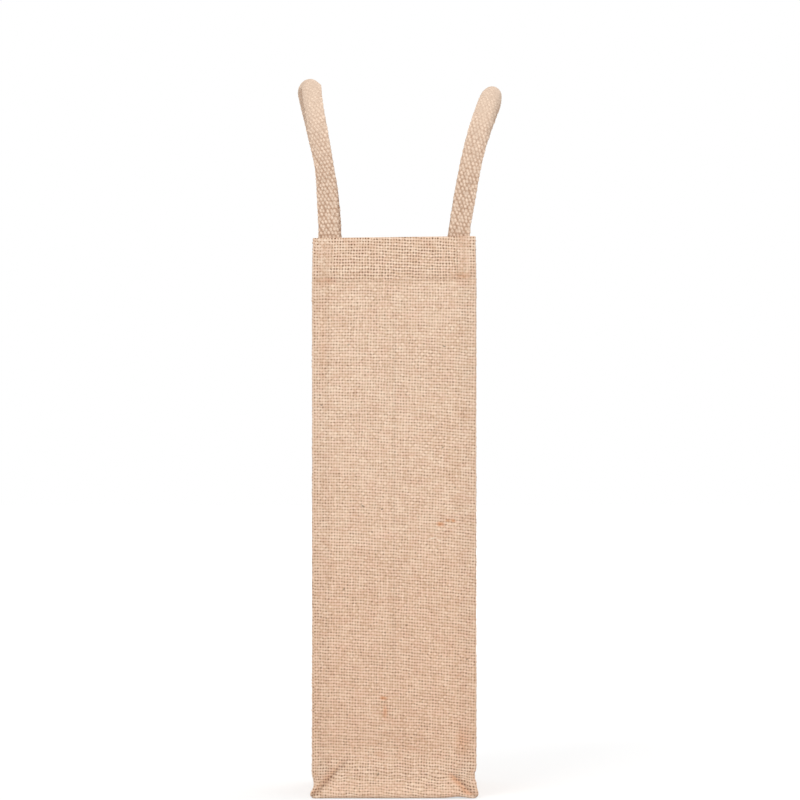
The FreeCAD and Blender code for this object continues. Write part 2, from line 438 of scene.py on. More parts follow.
WALL_RUN = RIM - TOE_RADIUS
TOE_RUN = TOE_RADIUS * math.pi / 2
BASE_RUN = 2 * (WALL - TOE_RADIUS)
WRAP_LENGTH = 2 * (WALL_RUN + TOE_RUN) + BASE_RUN
ROUNDING = np.radians([90, 67.5, 45, 22.5])


def wrap(s):
    """Place (y, z) and outward normal of the cloth line down the front, under the base and up the back."""
    way = np.where(s < WRAP_LENGTH / 2, -1.0, 1.0)
    t = np.minimum(s, WRAP_LENGTH - s)
    angle = np.clip((t - WALL_RUN) / TOE_RADIUS, 0, math.pi / 2)
    y = WALL - TOE_RADIUS + TOE_RADIUS * np.cos(angle) - np.clip(t - WALL_RUN - TOE_RUN, 0, None)
    z = np.where(t < WALL_RUN, RIM - t, TOE_RADIUS - TOE_RADIUS * np.sin(angle))
    return way * y, z, way * np.cos(angle), -np.sin(angle)


def wrap_point(s, x, inset):
    """Points inset from the outer face of the cloth line."""
    y, z, normal_y, normal_z = wrap(s)
    return np.stack([x + 0 * y, y - normal_y * inset, z - normal_z * inset], 1)


def rounded_stations(start, end, radius, step):
    """Lengths from start to end with a squeeze factor that rounds both ends by the radius."""
    lead = start + radius - radius * np.sin(ROUNDING)
    count = round((end - start - 2 * radius) / step) + 1
    middle = np.linspace(start + radius, end - radius, count)
    tail = end - radius + radius * np.sin(ROUNDING[::-1])
    along = np.concatenate([lead, middle, tail])
    squeeze = np.concatenate([np.cos(ROUNDING), np.ones(count), np.cos(ROUNDING[::-1])])
    return along, squeeze


def wrap_shell(name, start, end, row, inset, thickness, step=GRID, loop=0.0):
    """A sheet along the cloth line, through the places of a row, its outer face inset from the wall."""
    radius = thickness(np.zeros(1), np.full(1, start))[0] / 2
    along, squeeze = rounded_stations(start, end, radius, step)
    across = np.repeat(row[None], len(along), 0)
    thick = thickness(across, along[:, None])

    def place(station, x, depth):
        return wrap_point(along[station], x, inset + depth)

    return shell(name, along, across, thick, squeeze, place, loop)


def second_layer(value, place):
    """0 before a place and 1 after it, with the soft step of an edge of cloth."""
    return smooth(value, place - LAYER_STEP, place + LAYER_STEP)


def panel_thickness(x, s):
    """Two layers in the hems and the side margins, one elsewhere."""
    doubled = second_layer(np.abs(x), MARGIN)
    hem = 1 - second_layer(np.minimum(s, WRAP_LENGTH - s), HEM_DEPTH)
    return CLOTH * (1 + np.maximum(doubled, hem))


def one_layer(x, s):
    return CLOTH + 0 * (x + s)


RUMPLE_TOP = 0.037


def rumpled(z):
    """1 at the foot of a wall, where the rows of the weave are pulled about, and 0 above it."""
    return fade(z, TOE_RADIUS, RUMPLE_TOP)


# Main panel: the places across it, close together at its middle crease and its margins
CREASE_COLUMNS = np.arange(0, 0.0045, 0.0009)
WALL_COLUMNS = np.linspace(0.006, 0.036, 18)
MARGIN_COLUMNS = np.linspace(0.0375, SIDE - CLOTH, 16)
YARN_STATIONS = 3

# Brownish marks on the front: x, z, half width, half height and strength
BROWN_MARKS = (
    (0.0292, 0.1749, 0.0022, 0.0014, 0.80),
    (0.0342, 0.1772, 0.0016, 0.0011, 0.55),
    (0.0378, 0.1770, 0.0011, 0.0009, 0.85),
    (-0.0071, 0.0638, 0.0019, 0.0013, 0.85),
    (-0.0062, 0.0550, 0.0010, 0.0050, 0.55),
    (-0.0097, 0.0290, 0.0040, 0.0040, 0.20),
    (0.0435, 0.0360, 0.0060, 0.0110, 0.32),
    (0.0440, 0.3325, 0.0050, 0.0020, 0.35),
    (-0.0450, 0.3310, 0.0060, 0.0018, 0.25),
    (-0.0455, 0.2900, 0.0025, 0.0300, 0.15),
)
SKIN = 0.0003
# Browner and darker towards the base, less so at the foot
LOW_BROWNING = 0.13
BROWNING_TOP = (0.02, 0.30)
BROWNING_FOOT = (0.015, 0.035)
FOOT_BROWNING = 0.3

# Painted shade in each corner fold, and beside it painted shade in the brown tint of the marks: strength,
# place above the fold and width
LEFT_FOLD_SHADE = (0.75, 0.0, 0.0011)
RIGHT_FOLD_SHADE = (0.85, -0.0003, 0.0010)
LEFT_WEDGE_SHADE = (0.22, 0.0015, 0.0024)
RIGHT_WEDGE_SHADE = (0.42, -0.0022, 0.0024)
LEFT_REACH = 0.025
RIGHT_REACH = 0.017
REACH_BLUR = 0.004
REACH_INNER = 0.002
REACH_UPPER = 0.003

# How open the weave is
OPEN_PLAIN = 0.55
OPEN_WALL = 0.515
OPEN_LOW = 0.055
OPEN_LOW_TOP = (0.08, 0.22)
OPEN_FOOT = 0.14
OPEN_FOOT_TOP = (0.020, 0.030)
OPEN_HEM = 0.36
OPEN_GUSSET_HEM = 0.22
MARGIN_CLOSED = 0.05
HEM_MARGIN_CLOSED = 0.20
TACK_CLOSED = 0.60

# Shade and light that lie in the cloth
MARGIN_SHADE = 0.15
MARGIN_SHADE_RISE = (MARGIN - 0.002, MARGIN)
CREASE_SHADE = 0.20
CREASE_SHADE_WIDTH = 0.0009
CREASE_SHADE_LOW = (0.07, 0.10)
FOOT_LIGHT = 0.24
FOOT_LIGHT_TOP = (0.005, 0.017)
HEM_LIGHT = 0.08


def panel_row():
    half = np.concatenate([CREASE_COLUMNS, WALL_COLUMNS, MARGIN_COLUMNS])
    return np.concatenate([-half[:0:-1], half])


def marks(x, z):
    """Browner and darker towards the base, less so at the foot, and the brownish marks, each place as
    strong as the strongest there.
    """
    stain = LOW_BROWNING * fade(z, *BROWNING_TOP) * (FOOT_BROWNING + (1 - FOOT_BROWNING) * smooth(z, *BROWNING_FOOT))
    for mark_x, mark_z, half_x, half_z, strength in BROWN_MARKS:
        stain = np.maximum(stain, strength * bell(x, mark_x, half_x) * bell(z, mark_z, half_z))
    return stain


def along_folds(x, z, left, right):
    """Painted shade along each of the two corner folds, as far up as the fold reaches."""
    gap = fold_gap(x, z)
    streaks = [strength * bell(gap, above, width) for strength, above, width in (left, right)]
    reach = np.where(x < 0, LEFT_REACH, RIGHT_REACH)
    inner = SIDE - reach
    corner = smooth(np.abs(x), inner - REACH_BLUR, inner + REACH_INNER)
    corner *= fade(z, reach - REACH_BLUR, reach + REACH_UPPER)
    return np.where(x < 0, *streaks) * corner


def main_cloth():
    step = WEFT_PITCH / YARN_STATIONS
    row = panel_row()
    obj, points = wrap_shell("main_cloth", 0, WRAP_LENGTH, row, 0, panel_thickness, step, WEFT_LOOP)
    x, y, z = points.T
    on_front = y < SKIN - WALL
    # The brown tint holds the marks, the browning towards the base and painted shade beside the corner
    # folds
    stain = np.maximum(marks(x, z), along_folds(x, z, LEFT_WEDGE_SHADE, RIGHT_WEDGE_SHADE))
    hem = smooth(z, *HEM_RISE)
    margin = smooth(np.abs(x), *MARGIN_SHADE_RISE)
    openness = OPEN_WALL + OPEN_LOW * fade(z, *OPEN_LOW_TOP) + OPEN_FOOT * fade(z, *OPEN_FOOT_TOP)
    openness += OPEN_HEM * hem
    openness *= 1 - (MARGIN_CLOSED + HEM_MARGIN_CLOSED * hem) * margin
    openness *= 1 - TACK_CLOSED * tack_band(x, z)
    # Painted shade in the corner folds
    fold = along_folds(x, z, LEFT_FOLD_SHADE, RIGHT_FOLD_SHADE)
    crease = bell(x, 0, CREASE_SHADE_WIDTH) * smooth(z, *CREASE_SHADE_LOW) * fade(z, *CREASE_HIGH)
    lit = FOOT_LIGHT * fade(z, *FOOT_LIGHT_TOP) * (1 - fold) + HEM_LIGHT * hem
    shade = np.maximum(fold, CREASE_SHADE * crease) + MARGIN_SHADE * margin - lit
    paint(obj, stain=stain * on_front, open=openness, shadow=shade, rumple=rumpled(z))
    return obj


# Side panels, each a sheet and the flange of its seam allowances inside the main panel

FLANGE_COLUMNS = 5


def gusset_outline(z):
    """Half the depth of a side panel at a height: it follows the round edge of the base."""
    inner = TOE_RADIUS - GUSSET_INSET
    drop = np.clip(TOE_RADIUS - z, 0, inner)
    return WALL - TOE_RADIUS + np.sqrt(inner**2 - drop**2)


def gusset_cloth(name, side):
    along, squeeze = rounded_stations(GUSSET_INSET, RIM, CLOTH / 2, GRID)
    columns = round(2 * WALL / GRID)
    thick = np.repeat(CLOTH * (1 + second_layer(along, FLANGE_TOP)[:, None]), columns, 1)
    across = (gusset_outline(along)[:, None] - thick / 2) * np.linspace(-1, 1, columns)

    def place(station, y, depth):
        return np.stack([side * (SIDE - depth), y, along[station]], 1)

    sheet, points = shell(name, along, across, thick, squeeze, place)
    z = points[:, 2]
    openness = OPEN_PLAIN + OPEN_GUSSET_HEM * smooth(z, *HEM_RISE)
    paint(sheet, stain=0 * z, open=openness, shadow=0 * z, rumple=rumpled(z))

    row = np.sort(side * np.linspace(MARGIN, SIDE - 1.5 * CLOTH, FLANGE_COLUMNS))
    start = HEM_DEPTH + LAYER_GAP
    flange, points = wrap_shell(name + "_flange", start, WRAP_LENGTH - start, row, GUSSET_INSET, one_layer)
    plain = np.zeros(len(points))
    paint(flange, stain=plain, open=plain + OPEN_PLAIN, shadow=plain, rumple=plain)
    join(sheet, flange)
    return sheet


# Webbing handles: woven knots on a flat strap

KNOT_COLUMNS = 11
KNOT_ROW = 0.0047
KNOT_LONG = 0.00118
KNOT_SHORT = 0.00086
KNOT_TURN = math.radians(25)
KNOT_STRAY = 0.0007
KNOT_HEIGHT = 0.00045
KNOT_LOWEST = 0.75
KNOT_SMALLEST = 0.8
KNOT_SPREAD = 0.4
HOLLOW_REACH = (0.9, 2.0)
FAR_OFF = 9.0
SPARE = 4


def knots(t, w, seed):
    """Height of the slanted woven knots, 0 to 1, a shade drawn for each one and the hollows among them."""
    pitch = STRAP_WIDTH / KNOT_COLUMNS
    nearest = np.floor(w / pitch + KNOT_COLUMNS / 2).astype(int)
    rows = int(t.max() / KNOT_ROW) + SPARE
    drawn = np.random.default_rng(seed).uniform(0, 1, (4, KNOT_COLUMNS + SPARE, rows))
    best = np.zeros_like(w)
    shade = np.full_like(w, 0.5)
    nearest_reach = np.full_like(w, FAR_OFF)
    for step in (-1, 0, 1):
        column = nearest + step
        stagger = 0.5 * (column % 2)
        row = np.round(t / KNOT_ROW - stagger).astype(int)
        own, size, stray_t, stray_w = drawn[:, column + SPARE // 2, row + 1]
        along = t - (row + stagger) * KNOT_ROW + KNOT_STRAY * (stray_t - 0.5)
        across = w - (column + 0.5 - KNOT_COLUMNS / 2) * pitch + KNOT_STRAY * (stray_w - 0.5)
        lengthwise = (along * math.cos(KNOT_TURN) - across * math.sin(KNOT_TURN)) / KNOT_LONG
        crosswise = (across * math.cos(KNOT_TURN) + along * math.sin(KNOT_TURN)) / KNOT_SHORT
        reach = (lengthwise**2 + crosswise**2) / (KNOT_SMALLEST + KNOT_SPREAD * size)
        height = np.sqrt(np.clip(1 - reach, 0, 1)) * (KNOT_LOWEST + (1 - KNOT_LOWEST) * own)
        shade = np.where(height > best, own, shade)
        best = np.maximum(best, height)
        nearest_reach = np.minimum(nearest_reach, reach)
    return best, shade, smooth(nearest_reach, *HOLLOW_REACH)


STRAP_BODY = 0.00130
STRAP_EDGE = 0.00075
STRAP_PROUD = 0.00045
STRAP_STEP = KNOT_ROW / 10
FACE_COLUMNS = 40
LEAN_LENGTHS = np.linspace(-0.05, 0.15, 2001)
LEAN_FOOT = (-0.004, 0.010)


class Lean:
    """How a strap leans out of the bag: its tilt grows along its length q from the rim."""

    def __init__(self, first, last, low, high):
        self.tilt = math.radians(first) * smooth(LEAN_LENGTHS, *LEAN_FOOT)
        self.tilt += math.radians(last - first) * smooth(LEAN_LENGTHS, low, high)
        step = LEAN_LENGTHS[1] - LEAN_LENGTHS[0]
        start = np.searchsorted(LEAN_LENGTHS, 0)
        self.shift = np.cumsum(np.sin(self.tilt)) * step
        self.height = np.cumsum(np.cos(self.tilt)) * step
        self.shift -= self.shift[start]
        self.height -= self.height[start]

    def at(self, q):
        return (np.interp(q, LEAN_LENGTHS, line) for line in (self.shift, self.height, self.tilt))

    def length_to(self, height):
        return float(np.interp(height, self.height, LEAN_LENGTHS))


def strap_path(top_length):
    """Length t, depth y and length q up from the rim, from the front sewn end over to the back one."""
    leg = top_length - STRAP_LINE + (RIM - STRAP_END)
    arch = math.pi * STRAP_LINE
    t = np.linspace(0, 2 * leg + arch, round((2 * leg + arch) / STRAP_STEP) + 1)
    angle = np.clip((t - leg) / STRAP_LINE, 0, math.pi)
    climb = np.minimum(np.minimum(t, 2 * leg + arch - t), leg)
    return t, -STRAP_LINE * np.cos(angle), STRAP_END - RIM + climb + STRAP_LINE * np.sin(angle)


CROWN_CURL = 1 / 0.0052
CROWN_SPAN = (0.006, 0.040)
LEAST_CURL = 0.004
BACK_RUN = (-0.25 * STRAP_LINE, 0.40 * STRAP_LINE)
TWIST_RISE = (0.0, 0.045)


def crown_share(y):
    """1 over the top of a strap, where it curls lengthwise, and 0 down its legs."""
    return fade(np.abs(y), *CROWN_SPAN)


def strap_line(side, lean, y, q, back_shift, twist):
    """Middle of a strap at each station with its directions across and outward."""
    shift, height, tilt = lean.at(q)
    behind = 1 + back_shift * smooth(y, *BACK_RUN)
    tilt = tilt * behind
    centre = np.stack([side * (STRAP_CENTRE + shift * behind), y, RIM + height], 1)
    forward = unit(np.gradient(centre, axis=0))
    level = np.stack([np.cos(tilt), 0 * tilt, -side * np.sin(tilt)], 1)
    outward = unit(np.cross(level, forward))
    across = np.cross(forward, outward)
    turned = math.radians(twist) * smooth(q, *TWIST_RISE) * (1 - crown_share(y))
    cosine = np.cos(turned)[:, None]
    sine = np.sin(turned)[:, None]
    return centre, cosine * across + sine * outward, cosine * outward - sine * across


def strap_section():
    """Place across and out of the strap's middle, around its rounded section, outer face first."""
    half = STRAP_WIDTH / 2 + STRAP_PROUD - STRAP_EDGE - KNOT_HEIGHT
    face = np.linspace(-half, half, FACE_COLUMNS)
    edge = half + STRAP_EDGE * np.sin(EDGE_ANGLES)
    edge_out = STRAP_EDGE * np.cos(EDGE_ANGLES)
    pillow = STRAP_EDGE + (STRAP_BODY - STRAP_EDGE) * (1 - (face / half) ** 2)
    across = np.concatenate([face, edge, face[::-1], -edge])
    out = np.concatenate([pillow, edge_out, -pillow, -edge_out])
    return across, out


def end_caps(stations, ring):
    """Quads that close the first and the last ring of a strap, each between its two faces."""
    caps = []
    for first in (0, (stations - 1) * ring):
        for k in range(FACE_COLUMNS - 1):
            across = 2 * FACE_COLUMNS + EDGE_POINTS - 1 - k
            caps.append([first + k, first + k + 1, first + across - 1, first + across])
    return np.array(caps)


END_ROUNDING = 0.0012
END_LEAST = 0.02
CALM_RISE = (0.022, 0.095)
CALM_FLATTER = 0.45
CROWN_FLATTER = 0.6
# Painted shade along the outer edge of each strap, high on its legs
EDGE_SHADOW_ACROSS = (0.0028, 0.0052)
EDGE_SHADOW_UP = (0.050, 0.080)


def strap(name, side, lean, top, back_shift, twist, edge_shading, seed):
    """A strap from its front sewn end over to its back one; twist turns its legs to show an edge. Its
    outer edge high on the legs gets painted shade.
    """
    t, y, q = strap_path(lean.length_to(top - RIM - STRAP_BODY - KNOT_HEIGHT))
    centre, width, normal = strap_line(side, lean, y, q, back_shift, twist)
    across, out = strap_section()
    grid_t, grid_w = np.meshgrid(t, across, indexing="ij")
    relief, shade, hollow = knots(grid_t, grid_w, seed)
    crown = crown_share(y)[:, None]
    calm = smooth(q, *CALM_RISE)[:, None]
    ends = smooth(np.minimum(t, t[-1] - t), 0, END_ROUNDING)[:, None]
    flatter = (1 - CROWN_FLATTER * crown) * (1 - CALM_FLATTER * calm)
    rise = out + KNOT_HEIGHT * flatter * relief * out / STRAP_BODY
    rise *= END_LEAST + (1 - END_LEAST) * ends
    turn = grid_w * CROWN_CURL * (LEAST_CURL + crown)
    curled = grid_w * np.sinc(turn / math.pi)
    scallop = KNOT_HEIGHT * np.sign(grid_w) * relief * (1 - (out / STRAP_BODY) ** 2)
    sideways = curled + scallop + rise * np.sin(turn)
    outward = rise * np.cos(turn) - curled * np.tan(turn / 2)
    points = centre[:, None] + width[:, None] * sideways[..., None] + normal[:, None] * outward[..., None]
    faces = np.concatenate([ring_faces(*grid_t.shape), end_caps(*grid_t.shape)])
    obj = new_object(name, soften(points.reshape(-1, 3)), faces)
    corners = face_corners(np.append(across, across[0]), t[:, None])
    missing = 4 * len(faces) - len(corners)
    set_uv(obj, np.concatenate([corners, np.zeros((missing, 2))]))
    # Painted shade along the outer edge, high on the legs
    worn = edge_shading * smooth(side * grid_w, *EDGE_SHADOW_ACROSS) * smooth(q, *EDGE_SHADOW_UP)[:, None]
    paint(obj, relief=relief, shade=shade, hollow=hollow, calm=calm + 0 * relief, worn=worn)
    return obj


# Node helpers

class Field:
    """A number that varies over a surface: one socket of a node tree, with arithmetic that adds nodes."""

    def __init__(self, tree, socket):
        self.tree = tree
        self.socket = socket

    def math(self, operation, *others):
        inputs = dict(enumerate((self, *others)))
        return Field(self.tree, add_node(self.tree, "Math", inputs, operation=operation).outputs[0])

    def __add__(self, other):
        return self.math("ADD", other)

    def __sub__(self, other):
        return self.math("SUBTRACT", other)

    def __rsub__(self, other):
        return self * -1.0 + other

    def __mul__(self, other):
        return self.math("MULTIPLY", other)

    def __truediv__(self, other):
        return self.math("DIVIDE", other)

    def ramp(self, start, end):
        """0 at start and 1 at end, clamped."""
        inputs = {"Value": self, "From Min": start, "From Max": end}
        return Field(self.tree, add_node(self.tree, "MapRange", inputs).outputs[0])


def plug(tree, slot, value):
    """Links a field or socket to an input, or sets the input's own value."""
    if isinstance(value, Field):
        tree.links.new(value.socket, slot)
    elif isinstance(value, bpy.types.NodeSocket):
        tree.links.new(value, slot)
    else:
        slot.default_value = value


def add_node(tree, kind, inputs, **settings):
    """A new shader node with its settings, and its inputs by name or number."""
    node = tree.nodes.new("ShaderNode" + kind)
    for label, value in settings.items():
        setattr(node, label, value)
    for label, value in inputs.items():
        plug(tree, node.inputs[label], value)
    return node


def vector(tree, x, y):
    return add_node(tree, "CombineXYZ", {"X": x, "Y": y}).outputs[0]


def noise(tree, x, y, scale, detail=2.0):
    """Cloudy noise, 0 to 1 about 0.5."""
    inputs = {"Vector": vector(tree, x, y), "Scale": scale, "Detail": detail}
    return Field(tree, add_node(tree, "TexNoise", inputs).outputs["Fac"])


def chance(tree, first, second):
    """A fixed random number, 0 to 1, for each pair of numbers."""
    inputs = {"Vector": vector(tree, first, second)}
    return Field(tree, add_node(tree, "TexWhiteNoise", inputs, noise_dimensions="2D").outputs["Value"])


def mix(tree, factor, first, second, blend="MIX"):
    """A colour between two."""
    inputs = {0: factor, 6: first, 7: second}
    return add_node(tree, "Mix", inputs, data_type="RGBA", blend_type=blend).outputs[2]


def tint(tree, colour, other):
    """One colour times another."""
    return mix(tree, 1.0, colour, other, "MULTIPLY")


def brighten(tree, colour, factor):
    """A colour times a number."""
    return add_node(tree, "VectorMath", {0: colour, "Scale": factor}, operation="SCALE").outputs[0]


def attribute(tree, name):
    """A number painted on the points."""
    return Field(tree, add_node(tree, "Attribute", {}, attribute_name=name).outputs["Fac"])


def new_material(name, roughness, specular):
    material = bpy.data.materials.new(name)
    material.use_nodes = True
    tree = material.node_tree
    shader = tree.nodes["Principled BSDF"]
    shader.inputs["Roughness"].default_value = roughness
    shader.inputs["Specular IOR Level"].default_value = specular
    return material, tree, shader


def weave_place(tree):
    """The piece's own u and v."""
    place = add_node(tree, "UVMap", {}, uv_map=WEAVE_MAP).outputs[0]
    parts = add_node(tree, "SeparateXYZ", {0: place})
    return Field(tree, parts.outputs[0]), Field(tree, parts.outputs[1])


def bump(tree, shader, height, strength, distance):
    inputs = {"Strength": strength, "Distance": distance, "Height": height}
    plug(tree, shader.inputs["Normal"], add_node(tree, "Bump", inputs).outputs[0])


# Jute cloth: where its yarns run. Strays are in metres.

SLOW_STRAY_U = 0.0016
SLOW_STRAY_V = 0.0020
QUICK_STRAY = 0.0009
RUMPLE_STRAY = 0.0046
RUMPLE_STRETCH = 1.6
ROW_SLOPE = 0.065
ROW_BOW = 0.333
SKEW_RUN = (0.05, 0.25)
SKEW_LEAST = 0.7
SKEW_GAIN = 0.5
WARP_FAN = 0.035
WARP_LEAN = 0.0035
WARP_LEVEL = 0.178
WARP_REACH = 0.2


def stray(tree, u, v, shift, scale):
    """Noise about 0; every shift has its own."""
    return noise(tree, u + shift, v, scale) - 0.5


def yarn_counts(tree, u, v):
    """Place counted in warp yarns across and weft yarns along: both sets wander, slope and bow."""
    drift_u = stray(tree, u, v, shift=0.0, scale=38.0) * SLOW_STRAY_U
    drift_u += stray(tree, u, v, shift=7.3, scale=150.0) * QUICK_STRAY
    drift_v = stray(tree, u, v, shift=3.1, scale=30.0) * SLOW_STRAY_V
    drift_v += stray(tree, u, v, shift=9.7, scale=130.0) * QUICK_STRAY
    rumple = stray(tree, u, v * RUMPLE_STRETCH, shift=2.2, scale=75.0)
    drift_v += rumple * attribute(tree, "rumple") * RUMPLE_STRAY
    skew = (u * ROW_SLOPE + u * u * ROW_BOW) * (v.ramp(*SKEW_RUN) * SKEW_GAIN + SKEW_LEAST)
    share = (u + SIDE) / (2 * SIDE)
    lean = (share - share * share * 0.5) * WARP_FAN - WARP_LEAN
    level = ((WARP_LEVEL - v) / WARP_REACH).math("SINE") * WARP_REACH
    return (u + drift_u - lean * level) / WARP_PITCH, (v + drift_v - skew) / WEFT_PITCH


# Jute cloth: its yarns. Thickness is half a yarn's width as a share of the pitch, and give is how much of
# it goes where the weave is more open.

WARP = {"salt": 17.0, "thickness": 0.290, "give": 0.024, "over": 1.0, "waver": 0.62, "level": 0.21}
WEFT = {"salt": 417.0, "thickness": 0.327, "give": 0.132, "over": -1.0, "waver": 0.44, "level": 0.34}
SLUB = 0.19
SWELL = 0.07
YARN_EDGE = (-0.07, 0.04)
ROUND_HEIGHT = 0.45
WAVE_HEIGHT = 0.24


def yarn_noise(tree, index, along, salt, stride, pace):
    """A slow change along each yarn, drawn apart from its neighbours'."""
    return noise(tree, index * stride + salt, along * pace, 1.0)


def yarn_set(tree, across, along, openness, salt, thickness, give, over, waver, level):
    """One set of parallel yarns that go over and under: cover, height, number and slow tone of each."""
    index = across.math("FLOOR")
    slub = yarn_noise(tree, index, along, salt, stride=3.7, pace=0.21)
    tone = yarn_noise(tree, index, along, salt, stride=5.3, pace=0.11)
    sway = (yarn_noise(tree, index, along, salt, stride=2.9, pace=0.55) - 0.5) * waver
    gap = (across - index - 0.5 + sway).math("ABSOLUTE")
    wave = ((along - 0.5 + index) * math.pi).math("COSINE") * over
    half = (slub - 0.5) * SLUB + wave * SWELL + (thickness - (openness - OPEN_PLAIN) * give)
    cover = (half - gap).ramp(*YARN_EDGE)
    ratio = (gap / half).math("MINIMUM", 1.0)
    rounded = (1.0 - ratio * ratio).math("SQRT")
    height = cover * (rounded * ROUND_HEIGHT + wave * WAVE_HEIGHT + level)
    return cover, height, index, tone


# Jute cloth: its colours

YARN_PALE = (0.875, 0.693, 0.546, 1)
YARN_PINK = (0.838, 0.622, 0.484, 1)
YARN_TAN = (0.726, 0.531, 0.387, 1)
# Painted shade on the low parts of the yarns, and darker tone drawn at random
YARN_SHADE_AND_TONE = (0.75, 0.62, 0.52, 1)
HOLE = (0.170, 0.075, 0.035, 1)
# Brown tint of the marks, of the base and of the painted shade beside the corner folds
BROWN_TINT = (0.82, 0.38, 0.13, 1)
ON_TOP = (-0.06, 0.06)
FIBRE_SCALE = 700.0
FIBRE_STRETCH = 5.0
FIBRE_LIGHT = 0.64
FIBRE_BUMP = 0.15
CROSSING_LIGHT = 0.42
PATCH_LIGHT = 0.30
LIGHT_DROP = 0.770
PINK_RANGE = (0.40, 0.68)
TAN_RANGE = (0.48, 0.80)
HOLE_LEAST = 0.36
HOLE_SPREAD = 1.80
HOLE_CLOUD = (0.05, 0.50)
HOLE_OFFSET = 0.25
SHADOW_HOLES = 1.2
SHADOW_DIM = 0.22


def jute_cloth():
    material, tree, shader = new_material("jute_cloth", roughness=0.92, specular=0.10)
    u, v = weave_place(tree)
    openness = attribute(tree, "open")
    shadow = attribute(tree, "shadow")
    a, b = yarn_counts(tree, u, v)
    warp, warp_height, i, warp_tone = yarn_set(tree, a, b, openness, **WARP)
    weft, weft_height, j, weft_tone = yarn_set(tree, b, a, openness, **WEFT)
    height = warp_height.math("MAXIMUM", weft_height)
    weft_top = (weft_height - warp_height).ramp(*ON_TOP)
    warp_top = 1.0 - weft_top

    fibre = noise(tree, u * FIBRE_STRETCH, v, FIBRE_SCALE) * warp_top
    fibre += noise(tree, u, v * FIBRE_STRETCH, FIBRE_SCALE) * weft_top
    tone = warp_tone * warp_top + weft_tone * weft_top
    blush = noise(tree, u * 0.6, v + 2.0, scale=170.0, detail=3.0)
    patch = noise(tree, u + 1.7, v + 0.3, scale=14.0)
    yarn = mix(tree, blush.ramp(*PINK_RANGE), YARN_PALE, YARN_PINK)
    yarn = mix(tree, tone.ramp(*TAN_RANGE), yarn, YARN_TAN)
    # Painted shade on the lower parts of the yarns, with tone drawn at random for fibres, crossings and
    # patches
    light = height + fibre * FIBRE_LIGHT + chance(tree, i, j) * CROSSING_LIGHT + patch * PATCH_LIGHT
    yarn = mix(tree, light - LIGHT_DROP, tint(tree, yarn, YARN_SHADE_AND_TONE), yarn)

    own = chance(tree, a.math("ROUND") + HOLE_OFFSET, b.math("ROUND")) * HOLE_SPREAD + HOLE_LEAST
    cloud = noise(tree, u + 5.0, v, scale=120.0).ramp(*HOLE_CLOUD)
    holes = (1.0 - warp.math("MAXIMUM", weft)) * openness * own * cloud * (shadow * SHADOW_HOLES + 1.0)
    colour = mix(tree, holes.math("MINIMUM", 1.0), yarn, HOLE)
    # Brown tint of the marks and of the base, and painted shade beside the corner folds
    colour = mix(tree, attribute(tree, "stain"), colour, tint(tree, colour, BROWN_TINT))
    colour = brighten(tree, colour, 1.0 - shadow * SHADOW_DIM)
    tree.links.new(colour, shader.inputs["Base Color"])
    bump(tree, shader, height + fibre * FIBRE_BUMP, strength=0.40, distance=0.0006)
    return material


# Jute webbing: its brightness is a level and what each of its features adds

WEBBING = (0.835, 0.655, 0.515, 1)
# Painted shade in the gaps among the knots, deeper painted shade in the hollows, which is also the colour
# of random dark specks
WEBBING_GAP_SHADE = (0.680, 0.482, 0.352, 1)
WEBBING_SHADE_AND_SPECK = (0.400, 0.220, 0.135, 1)
WEBBING_LEVEL = 0.572
KNOT_LIGHT = 0.10
KNOT_OWN_LIGHT = 0.07
STRAND_LIGHT = 0.48
CLOUD_LIGHT = 0.10
CALM_LIGHT = 0.075
CALM_DIM = 0.042
# How much the painted shade along a strap's outer edge darkens it
EDGE_SHADOW_DIM = 0.16
KNOT_COVER = (0.0, 0.85)
CALM_COVER = 0.75
CALM_FILL = 0.85
DEPTH_RANGE = (0.40, 0.75)
DEPTH_LEAST = 0.3
SPECK_RANGE = (0.46, 0.28)
SPECK_STRENGTH = 0.50


def jute_webbing():
    material, tree, shader = new_material("jute_webbing", roughness=0.9, specular=0.12)
    u, v = weave_place(tree)
    relief = attribute(tree, "relief")
    calm = attribute(tree, "calm")
    strand = noise(tree, u * 1.5 + v * 0.6, v, scale=1100.0)
    value = relief * KNOT_LIGHT + strand * STRAND_LIGHT + attribute(tree, "shade") * KNOT_OWN_LIGHT
    value += noise(tree, u, v, scale=90.0) * CLOUD_LIGHT + calm * (CALM_LIGHT - calm * CALM_DIM)
    # Painted shade along the outer edge near the crown
    value += WEBBING_LEVEL - attribute(tree, "worn") * EDGE_SHADOW_DIM
    # Painted shade in the gaps and hollows among the knots, less of it up the legs; random dark specks
    covered = relief.ramp(*KNOT_COVER).math("MAXIMUM", calm * CALM_COVER)
    colour = mix(tree, covered, WEBBING_GAP_SHADE, WEBBING)
    depth = noise(tree, u + 0.7, v, scale=900.0).ramp(*DEPTH_RANGE) * (1 - DEPTH_LEAST) + DEPTH_LEAST
    hollow = attribute(tree, "hollow") * depth * (1.0 - calm * calm * CALM_FILL)
    colour = mix(tree, hollow, colour, WEBBING_SHADE_AND_SPECK)
    speck = noise(tree, u + 2.3, v, scale=1200.0).ramp(*SPECK_RANGE) * SPECK_STRENGTH
    colour = mix(tree, speck, colour, WEBBING_SHADE_AND_SPECK)
    tree.links.new(brighten(tree, colour, value), shader.inputs["Base Color"])
    bump(tree, shader, strand, strength=0.35, distance=0.0003)
    return material


# Sewing thread: on threads u runs once around and v along in metres

THREAD = (0.74, 0.56, 0.41, 1)
THREAD_GROOVE_SHADE = (0.52, 0.36, 0.24, 1)
PLIES = 2.0
PLY_TURNS = 2600.0
PLY_GROOVE = (0.0, 0.5)
FUZZ_LIGHT = 0.3
FUZZ_LEAST = 0.85


